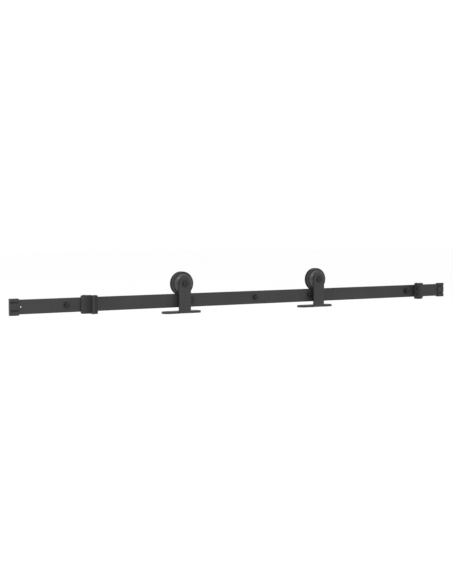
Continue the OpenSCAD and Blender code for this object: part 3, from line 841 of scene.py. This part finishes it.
def makeWheel(side, axle, nylon):
    wheel = {"tread": 29.3 * mm, "hub": 12 * mm, "pocket": 15.02 * mm, "clipR": 16 * mm, "seat": 30 * mm,
             "seatDeep": 1.0 * mm, "bearing": 4.5 * mm, "clip": 1.2 * mm, "reliefIn": 20 * mm,
             "reliefOut": 29 * mm, "relief": 1 * mm, "round": 0.3 * mm, "pocketRound": 0.4 * mm,
             "hubRound": 0.2 * mm}
    # a flange's points, over its rim and then down to the tread, in mm: how far inwards from the rim, or
    # outwards from the tread, how far in from the wheel's side, and the round
    rimPoints = [(2.6, 0.0, 0.5), (0.7, 0.7, 0.8), (0.0, 2.0, 0.7), (0.3, 3.5, 0.4)]
    rootPoints = [(0.8, 3.9, 0.4), (0.0, 4.7, 0.5)]
    node = side + "_wheel"
    low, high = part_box(node)
    half = (high.y - low.y) / 2
    rim = (high.z - low.z) / 2
    flange = [(rim - inward * mm, half - aside * mm, fillet * mm) for inward, aside, fillet in rimPoints]
    flange += [(wheel["tread"] + outward * mm, half - aside * mm, fillet * mm)
               for outward, aside, fillet in rootPoints]
    front = [(r, -y, fillet) for r, y, fillet in flange]
    seatY, reliefY, clipY = wheel["seatDeep"] - half, half - wheel["relief"], wheel["bearing"] + wheel["clip"]
    corners = [
        (wheel["hub"], seatY, wheel["round"]), (wheel["seat"], seatY, wheel["round"]),
        (wheel["seat"], -half, wheel["round"])] + front + list(reversed(flange)) + [
        (wheel["reliefOut"], half, wheel["round"]), (wheel["reliefOut"], reliefY, wheel["round"]),
        (wheel["reliefIn"], reliefY, wheel["round"]), (wheel["reliefIn"], half, wheel["round"]),
        (wheel["pocket"], half, wheel["pocketRound"]), (wheel["pocket"], clipY, 0),
        (wheel["clipR"], clipY, 0), (wheel["clipR"], wheel["bearing"], 0),
        (wheel["pocket"], wheel["bearing"], 0), (wheel["pocket"], -wheel["bearing"], 0),
        (wheel["hub"], -wheel["bearing"], wheel["hubRound"])]
    bm = turned(filleted(corners, 4), 144)
    show(joined([(bm, at(*axle))]), node, side + "_wheel", nylon)


def makeHubCover(side, axle, dome):
    cover = {"base": 29.25 * mm, "hole": 9.5 * mm, "wall": 2 * mm, "shoulder": 16 * mm, "skirt": 1 * mm,
             "mouthRound": 0.8 * mm, "holeRound": 0.4 * mm}
    node = side + "_hub_cover"
    low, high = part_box(node)
    back, front = high.y - axle.y, low.y - axle.y
    noseR = cover["base"] - cover["shoulder"]

    def arch(inset):
        # quarter ellipse from the skirt over the shoulder to the flat nose
        skirtY, reach = back - cover["skirt"], cover["shoulder"] - inset
        rise = skirtY - front - inset
        return [(noseR + reach * math.cos(a), skirtY - rise * math.sin(a))
                for a in (math.pi / 2 * k / 16 for k in range(17))]

    lip = filleted([(noseR, front, 0), (cover["hole"], front, cover["mouthRound"]),
                    (cover["hole"], front + cover["wall"], cover["holeRound"]),
                    (noseR, front + cover["wall"], 0)], 4)
    inside = list(reversed(arch(cover["wall"])))
    outline = ([(cover["base"], back)] + arch(0.0) + [tuple(v) for v in lip[1:-1]] + inside
               + [(cover["base"] - cover["wall"], back)])
    show(joined([(turned(outline, 144), at(*axle))]), node, side + "_wheel", dome)


for side in ("left", "right"):
    axle = centreOf(side + "_wheel")
    steel = groundSteel(side + " bearing steel", axle)
    makeStrap(side, axle)
    makeAxle(side, axle)
    makeAxleStack(side, axle, steel)
    makeLockNut(side, axle)
    makeBearing(side, axle, steel)
    makeCirclip(side, axle)
    makeWheel(side, axle, mouldedNylon(side + " wheel nylon", axle))
    makeHubCover(side, axle, satinDome(side + " hub dome", axle))
    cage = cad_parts[side + "_bearing_cage"]
    cage.data.materials.clear()
    cage.data.materials.append(brass.material)
print("hangers made")


# stops

railHalf = (railHigh.y - railLow.y) / 2
stop = {"length": 40 * mm, "half": 26 * mm, "thick": 5 * mm, "fold": 1 * mm, "corner": 4 * mm,
        "uprightCorner": 0.6 * mm, "gap": 0.15 * mm, "reach": 31.5 * mm, "buffer": 10 * mm, "screwY": 24 * mm,
        "screwZ": 9.5 * mm, "tap": 2.05 * mm, "drill": 2.15 * mm, "edge": 0.5 * mm, "screwEdge": 0.12 * mm}


def stopSpace(side):
    # x = 0 is the rubber face and +x leads away from the door; y = 0 is the middle of the rail
    sign = -1 if side == "left" else 1
    low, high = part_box(side + "_stop_buffer")
    face = high.x if sign < 0 else low.x
    return at(face, railMid.y, 0) @ Matrix.Diagonal((sign, 1, 1, 1))


def sideways(x, y):
    # lays a piece that is built back along Y so that it leads along +x
    return at(x, y) @ Matrix(((0, 1, 0, 0), (-1, 0, 0, 0), (0, 0, 1, 0), (0, 0, 0, 1)))


def socketScrew(length):
    # a round head with a hexagon socket from y = 0 out to y = -head, and a shank back to y = length
    screw = {"headR": 3.5 * mm, "head": 2.6 * mm, "shank": 1.98 * mm, "key": 2.5 * mm, "keyDeep": 1.5 * mm,
             "point": 0.4 * mm, "slim": 0.8, "crown": ((1.0, 0.7), (0.97, 0.86), (0.9, 0.96), (0.8, 1.0))}
    bm = bmesh.new()
    edges = ringOfEdges(bm, circleAt(bm, 0, 0, 0, screw["headR"], 48))
    foot = pulled(bm, edges, lambda co: co * (screw["shank"] / screw["headR"]))
    foot = pulled(bm, foot, lambda co: co + Vector((0, length - screw["point"], 0)))
    foot = pulled(bm, foot, lambda co: Vector((co.x * screw["slim"], length, co.z * screw["slim"])))
    bmesh.ops.contextual_create(bm, geom=foot)
    for share, rise in screw["crown"]:  # shares of the head's radius and of its height
        edges = pulled(bm, edges, lambda co: Vector((co.x, 0, co.z)).normalized() * screw["headR"] * share
                       + Vector((0, -screw["head"] * rise, 0)))
    edges = pulled(bm, edges, lambda co: hexagonal(co, screw["key"], 0))
    edges = pulled(bm, edges, lambda co: co + Vector((0, screw["keyDeep"], 0)))
    bmesh.ops.contextual_create(bm, geom=edges)
    return bm


def makeBracket(side, space):
    # its foot lies on the rail's front; beyond the fold, its upright takes the buffer's screws
    thick, half = stop["thick"], stop["half"]
    outer = thick + stop["fold"]
    front = railHalf + stop["gap"]
    arc = bendLength(thick, stop["fold"])
    footEnd = stop["length"] - stop["buffer"] - outer
    upright = stop["reach"] - front - outer
    tapZ = -arc - (stop["screwY"] - front - outer)
    outline = roundedBox(half, -arc - upright, footEnd, stop["uprightCorner"], stop["corner"])
    holes = [((x, tapZ), [(stop["tap"], 0), (stop["tap"], thick)]) for x in (-stop["screwZ"], stop["screwZ"])]
    bm = folded(plate(outline, thick, holes), thick, stop["fold"])
    stood = Matrix(((0, 0, 1, stop["buffer"] + outer), (0, -1, 0, -front), (1, 0, 0, 0), (0, 0, 0, 1)))
    body = side + "_stop"
    show(joined([(bm, space @ stood)]), body + "_bracket", body, coat, edge=stop["edge"])


def makeClamp(side, space):
    clamp = {"half": 10 * mm, "shorter": 0.5 * mm, "thick": 4 * mm, "corner": 3 * mm, "screwX": 25 * mm,
             "screwZ": 22.9 * mm, "screwShort": 1.5 * mm, "edge": 0.4 * mm}
    body = side + "_stop"
    behind = railHalf + stop["gap"]
    tall = stop["half"] - clamp["shorter"]
    heights = (-clamp["screwZ"], clamp["screwZ"])
    outline = roundedBox(clamp["half"], -tall, tall, clamp["corner"], clamp["corner"])
    holes = [((0, z), [(stop["drill"], 0), (stop["drill"], clamp["thick"])]) for z in heights]
    bm = plate(outline, clamp["thick"], holes)
    show(joined([(bm, space @ at(clamp["screwX"], behind))]), body + "_clamp_plate", body, coat,
         edge=clamp["edge"])
    through = 2 * behind + clamp["thick"] + stop["thick"] - clamp["screwShort"]
    seat = behind + clamp["thick"]
    screws = [(socketScrew(through), space @ at(clamp["screwX"], seat, z) @ turnedAbout) for z in heights]
    show(joined(screws), body + "_clamp_screws", body, oxide, edge=stop["screwEdge"])


def makeBuffer(side, space):
    buffer = {"back": 9.5 * mm, "sink": 3.8 * mm, "sinkDeep": 4 * mm, "edge": 0.9 * mm}
    body = side + "_stop"
    thick, deep = stop["buffer"], buffer["sinkDeep"]
    middle = -(stop["reach"] + buffer["back"]) / 2
    heights = (-stop["screwZ"], stop["screwZ"])
    corner = stop["corner"]
    outline = roundedBox((stop["reach"] - buffer["back"]) / 2, -stop["half"], stop["half"], corner, corner)
    sunk = [(buffer["sink"], 0), (buffer["sink"], deep), (stop["drill"], deep), (stop["drill"], thick)]
    block = plate(outline, thick, [((stop["screwY"] + middle, z), sunk) for z in heights])
    show(joined([(block, space @ sideways(0, middle))]), body + "_buffer", body, rubber,
         edge=buffer["edge"], edgeSteps=3)
    lying = sideways(deep, -stop["screwY"])
    screws = [(socketScrew(thick - deep + stop["thick"]), space @ at(z=z) @ lying) for z in heights]
    show(joined(screws), body + "_buffer_screws", body, oxide, edge=stop["screwEdge"])


for side in ("left", "right"):
    space = stopSpace(side)
    makeBracket(side, space)
    makeClamp(side, space)
    makeBuffer(side, space)
print("stops made")
